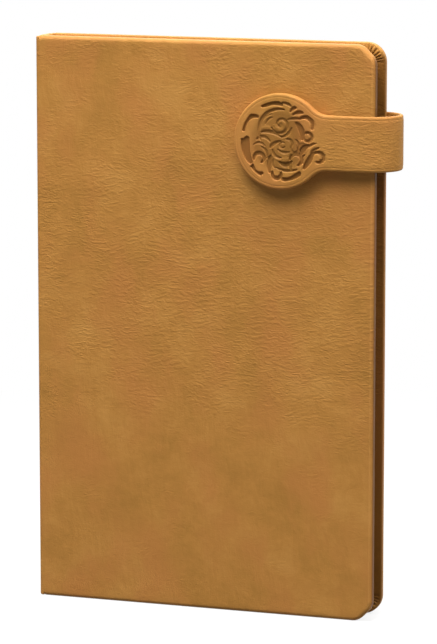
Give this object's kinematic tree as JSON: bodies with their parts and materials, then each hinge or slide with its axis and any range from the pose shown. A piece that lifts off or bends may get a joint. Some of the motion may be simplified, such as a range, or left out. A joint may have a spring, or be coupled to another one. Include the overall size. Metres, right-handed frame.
{
  "type": "diary with strap clasp",
  "caption": "Padded leather diary with rounded corners; a strap from the back cover loops round the fore-edge and holds it shut with a magnetic medallion tab.",
  "frame": {"origin": "centre of the closed diary's box, on the surface it stands on", "axes": "+Z from tail to head, +X from the spine to the fore-edge, -Y out of the front cover"},
  "size_m": [0.1382, 0.022, 0.21],
  "materials": {
    "cover_leather": "satin, fine wrinkles, mottled tan",
    "strap_leather": "satin tan, ornament pressed in",
    "lining_leather": "matt split leather",
    "greyboard": "matt grey board",
    "foam": "soft thin foam",
    "endpaper": "matt cream",
    "pages": "matt cream with ruled lines",
    "gauze": "open weave",
    "headband": "ribbed cloth",
    "steel": "plain steel",
    "magnet": "dark ferrite"
  },
  "bodies": {
    "back_case": {"back_cover_leather": "cover_leather", "back_cover_padding": "foam", "back_board": "greyboard", "back_pastedown": "endpaper", "back_flyleaf": "endpaper", "spine_leather": "cover_leather", "spine_board": "greyboard", "spine_lining": "endpaper", "spine_gauze": "gauze", "headband": "headband", "tailband": "headband", "front_joint_leather": "cover_leather", "section_02": "pages", "section_03": "pages", "section_04": "pages", "section_05": "pages", "section_06": "pages", "section_07": "pages", "section_08": "pages", "strap_tail_leather": "strap_leather", "strap_tail_lining": "lining_leather"},
    "front_cover": {"front_cover_leather": "cover_leather", "front_cover_padding": "foam", "front_board": "greyboard", "front_clasp_plate": "steel", "front_pastedown": "endpaper"},
    "first_section": {"section_01": "pages"},
    "front_flyleaf": {"front_flyleaf": "endpaper"},
    "strap_rear_bend": {"rear_bend_leather": "strap_leather", "rear_bend_lining": "lining_leather"},
    "strap_front_bend": {"front_bend_leather": "strap_leather", "front_bend_lining": "lining_leather"},
    "strap_tab": {"tab_face_leather": "strap_leather", "tab_lining": "lining_leather", "tab_core": "greyboard", "tab_magnet": "magnet"}
  },
  "joints": [
    {"name": "front_cover_hinge", "type": "hinge", "parent": "back_case", "child": "front_cover", "pos_m": [-0.0676, -0.00585, 0.105], "axis": [0, 0, -1], "range_deg": [0, 170], "deforming": ["front_joint_leather"]},
    {"name": "first_section_turn", "type": "hinge", "parent": "back_case", "child": "first_section", "pos_m": [-0.06555, -0.00265, 0.105], "axis": [0, 0, -1], "range_deg": [0, 85]},
    {"name": "front_flyleaf_turn", "type": "hinge", "parent": "first_section", "child": "front_flyleaf", "pos_m": [-0.06555, -0.00265, 0.105], "axis": [0, 0, -1], "range_deg": [0, 11.9]},
    {"name": "strap_rear_fold", "type": "hinge", "parent": "back_case", "child": "strap_rear_bend", "pos_m": [0.05815, 0.01015, 0.1748], "axis": [0, 0, 1], "range_deg": [0, 60]},
    {"name": "strap_middle_fold", "type": "hinge", "parent": "strap_rear_bend", "child": "strap_front_bend", "pos_m": [0.0683, 0, 0.1748], "axis": [0, 0, 1], "range_deg": [0, 60]},
    {"name": "strap_front_fold", "type": "hinge", "parent": "strap_front_bend", "child": "strap_tab", "pos_m": [0.05815, -0.01015, 0.1748], "axis": [0, 0, 1], "range_deg": [0, 60]}
  ],
  "couplings": [
    {"joint": "first_section_turn", "follows": "front_cover_hinge", "ratio": 0.5},
    {"joint": "front_flyleaf_turn", "follows": "front_cover_hinge", "ratio": 0.07},
    {"joint": "strap_middle_fold", "follows": "strap_rear_fold", "ratio": 1},
    {"joint": "strap_front_fold", "follows": "strap_rear_fold", "ratio": 1}
  ]
}
